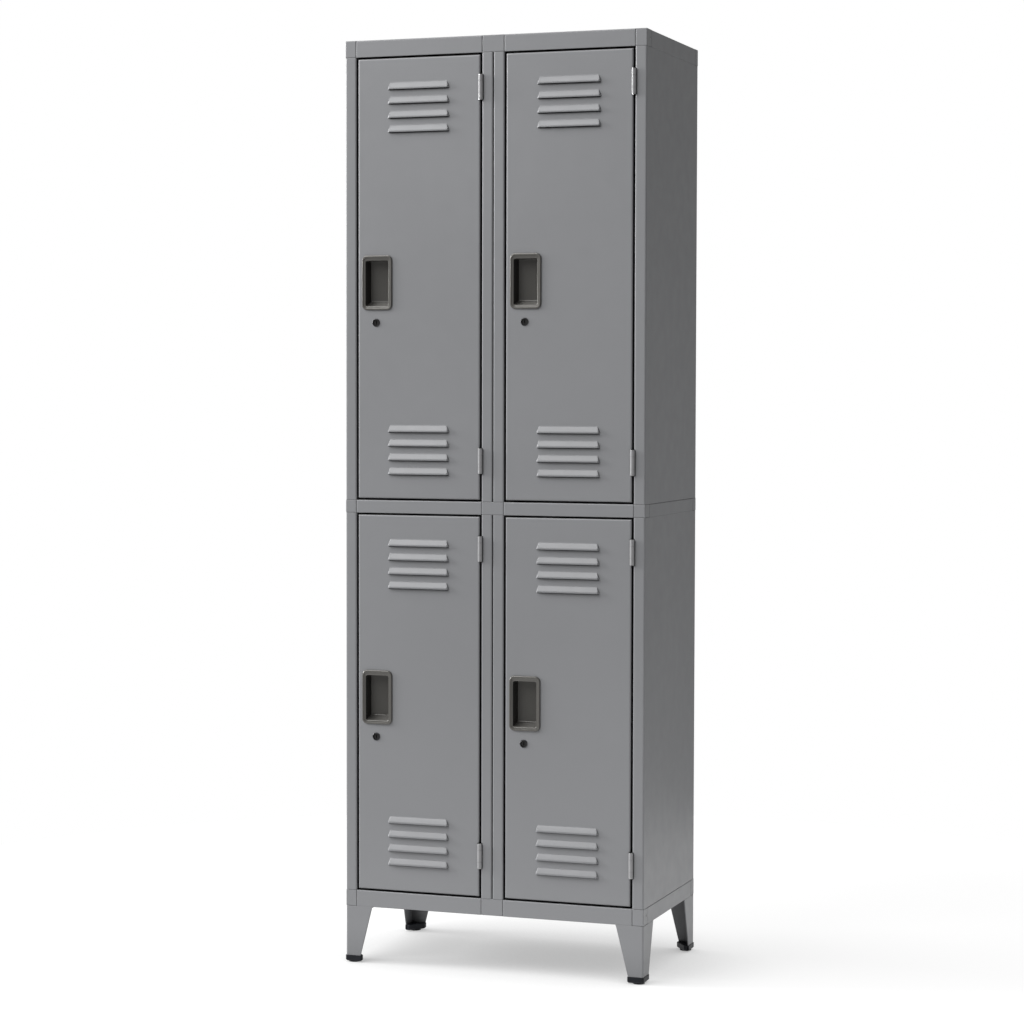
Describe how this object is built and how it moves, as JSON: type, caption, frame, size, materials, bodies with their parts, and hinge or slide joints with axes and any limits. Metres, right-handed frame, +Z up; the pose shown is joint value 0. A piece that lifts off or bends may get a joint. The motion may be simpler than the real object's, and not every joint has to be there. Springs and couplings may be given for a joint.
{
  "type": "locker cabinet",
  "caption": "Tall free-standing steel locker with side-hung louvred doors, recessed handles, cam locks and tapered sheet legs.",
  "frame": {"origin": "on the floor, at the middle of the cabinet's plan", "axes": "+X to the right of a person facing the doors, +Y to the rear, +Z up"},
  "size_m": [0.6124, 0.3577, 1.8],
  "materials": {
    "cabinet_paint": "fine satin grey powder coat",
    "door_paint": "fine satin grey powder coat",
    "block_paint": "satin grey powder coat",
    "hinge_paint": "thin grey paint over rolled steel",
    "hinge_steel": "bare steel pin",
    "screw_steel": "zinc plated",
    "handle_metal": "dark gunmetal, semi-gloss",
    "lock_metal": "dull nickel rim",
    "lock_core": "dark plug with a keyway",
    "cam_zinc": "zinc plated",
    "foot_plastic": "black moulded plastic"
  },
  "bodies": {
    "cabinet_frame": {"bottom_tray_left": "cabinet_paint", "bottom_tray_right": "cabinet_paint", "bottom_corner_blocks": "block_paint", "bottom_centre_blocks": "block_paint", "middle_tray_left": "cabinet_paint", "middle_tray_right": "cabinet_paint", "middle_corner_blocks": "block_paint", "middle_centre_blocks": "block_paint", "top_tray_left": "cabinet_paint", "top_tray_right": "cabinet_paint", "top_corner_blocks": "block_paint", "top_centre_blocks": "block_paint", "lower_left_outer_wall": "cabinet_paint", "lower_left_inner_wall": "cabinet_paint", "lower_left_back_panel": "cabinet_paint", "lower_right_outer_wall": "cabinet_paint", "lower_right_inner_wall": "cabinet_paint", "lower_right_back_panel": "cabinet_paint", "upper_left_outer_wall": "cabinet_paint", "upper_left_inner_wall": "cabinet_paint", "upper_left_back_panel": "cabinet_paint", "upper_right_outer_wall": "cabinet_paint", "upper_right_inner_wall": "cabinet_paint", "upper_right_back_panel": "cabinet_paint", "front_left_leg": "cabinet_paint", "front_left_foot_cap": "foot_plastic", "front_right_leg": "cabinet_paint", "front_right_foot_cap": "foot_plastic", "rear_left_leg": "cabinet_paint", "rear_left_foot_cap": "foot_plastic", "rear_right_leg": "cabinet_paint", "rear_right_foot_cap": "foot_plastic", "block_screws": "screw_steel", "frame_hinge_leaves": "hinge_paint", "hinge_pins": "hinge_steel"},
    "lower_left_door": {"lower_left_door": "door_paint", "lower_left_handle": "handle_metal", "lower_left_lock_body": "lock_metal", "lower_left_door_hinge_leaves": "hinge_paint"},
    "lower_left_lock": {"lower_left_lock_plug": "lock_core", "lower_left_lock_cam": "cam_zinc"},
    "lower_right_door": {"lower_right_door": "door_paint", "lower_right_handle": "handle_metal", "lower_right_lock_body": "lock_metal", "lower_right_door_hinge_leaves": "hinge_paint"},
    "lower_right_lock": {"lower_right_lock_plug": "lock_core", "lower_right_lock_cam": "cam_zinc"},
    "upper_left_door": {"upper_left_door": "door_paint", "upper_left_handle": "handle_metal", "upper_left_lock_body": "lock_metal", "upper_left_door_hinge_leaves": "hinge_paint"},
    "upper_left_lock": {"upper_left_lock_plug": "lock_core", "upper_left_lock_cam": "cam_zinc"},
    "upper_right_door": {"upper_right_door": "door_paint", "upper_right_handle": "handle_metal", "upper_right_lock_body": "lock_metal", "upper_right_door_hinge_leaves": "hinge_paint"},
    "upper_right_lock": {"upper_right_lock_plug": "lock_core", "upper_right_lock_cam": "cam_zinc"}
  },
  "joints": [
    {"name": "lower_left_door_swing", "type": "hinge", "parent": "cabinet_frame", "child": "lower_left_door", "pos_m": [-0.0246, -0.177, 0.515], "axis": [0, 0, 1], "range_deg": [0, 110]},
    {"name": "lower_left_lock_turn", "type": "hinge", "parent": "lower_left_door", "child": "lower_left_lock", "pos_m": [-0.2407, -0.175, 0.44845], "axis": [0, 1, 0], "range_deg": [0, 90]},
    {"name": "lower_right_door_swing", "type": "hinge", "parent": "cabinet_frame", "child": "lower_right_door", "pos_m": [0.2804, -0.177, 0.515], "axis": [0, 0, 1], "range_deg": [0, 110]},
    {"name": "lower_right_lock_turn", "type": "hinge", "parent": "lower_right_door", "child": "lower_right_lock", "pos_m": [0.0643, -0.175, 0.44845], "axis": [0, 1, 0], "range_deg": [0, 90]},
    {"name": "upper_left_door_swing", "type": "hinge", "parent": "cabinet_frame", "child": "upper_left_door", "pos_m": [-0.0246, -0.177, 1.33925], "axis": [0, 0, 1], "range_deg": [0, 110]},
    {"name": "upper_left_lock_turn", "type": "hinge", "parent": "upper_left_door", "child": "upper_left_lock", "pos_m": [-0.2407, -0.175, 1.2552], "axis": [0, 1, 0], "range_deg": [0, 90]},
    {"name": "upper_right_door_swing", "type": "hinge", "parent": "cabinet_frame", "child": "upper_right_door", "pos_m": [0.2804, -0.177, 1.33925], "axis": [0, 0, 1], "range_deg": [0, 110]},
    {"name": "upper_right_lock_turn", "type": "hinge", "parent": "upper_right_door", "child": "upper_right_lock", "pos_m": [0.0643, -0.175, 1.2552], "axis": [0, 1, 0], "range_deg": [0, 90]}
  ]
}
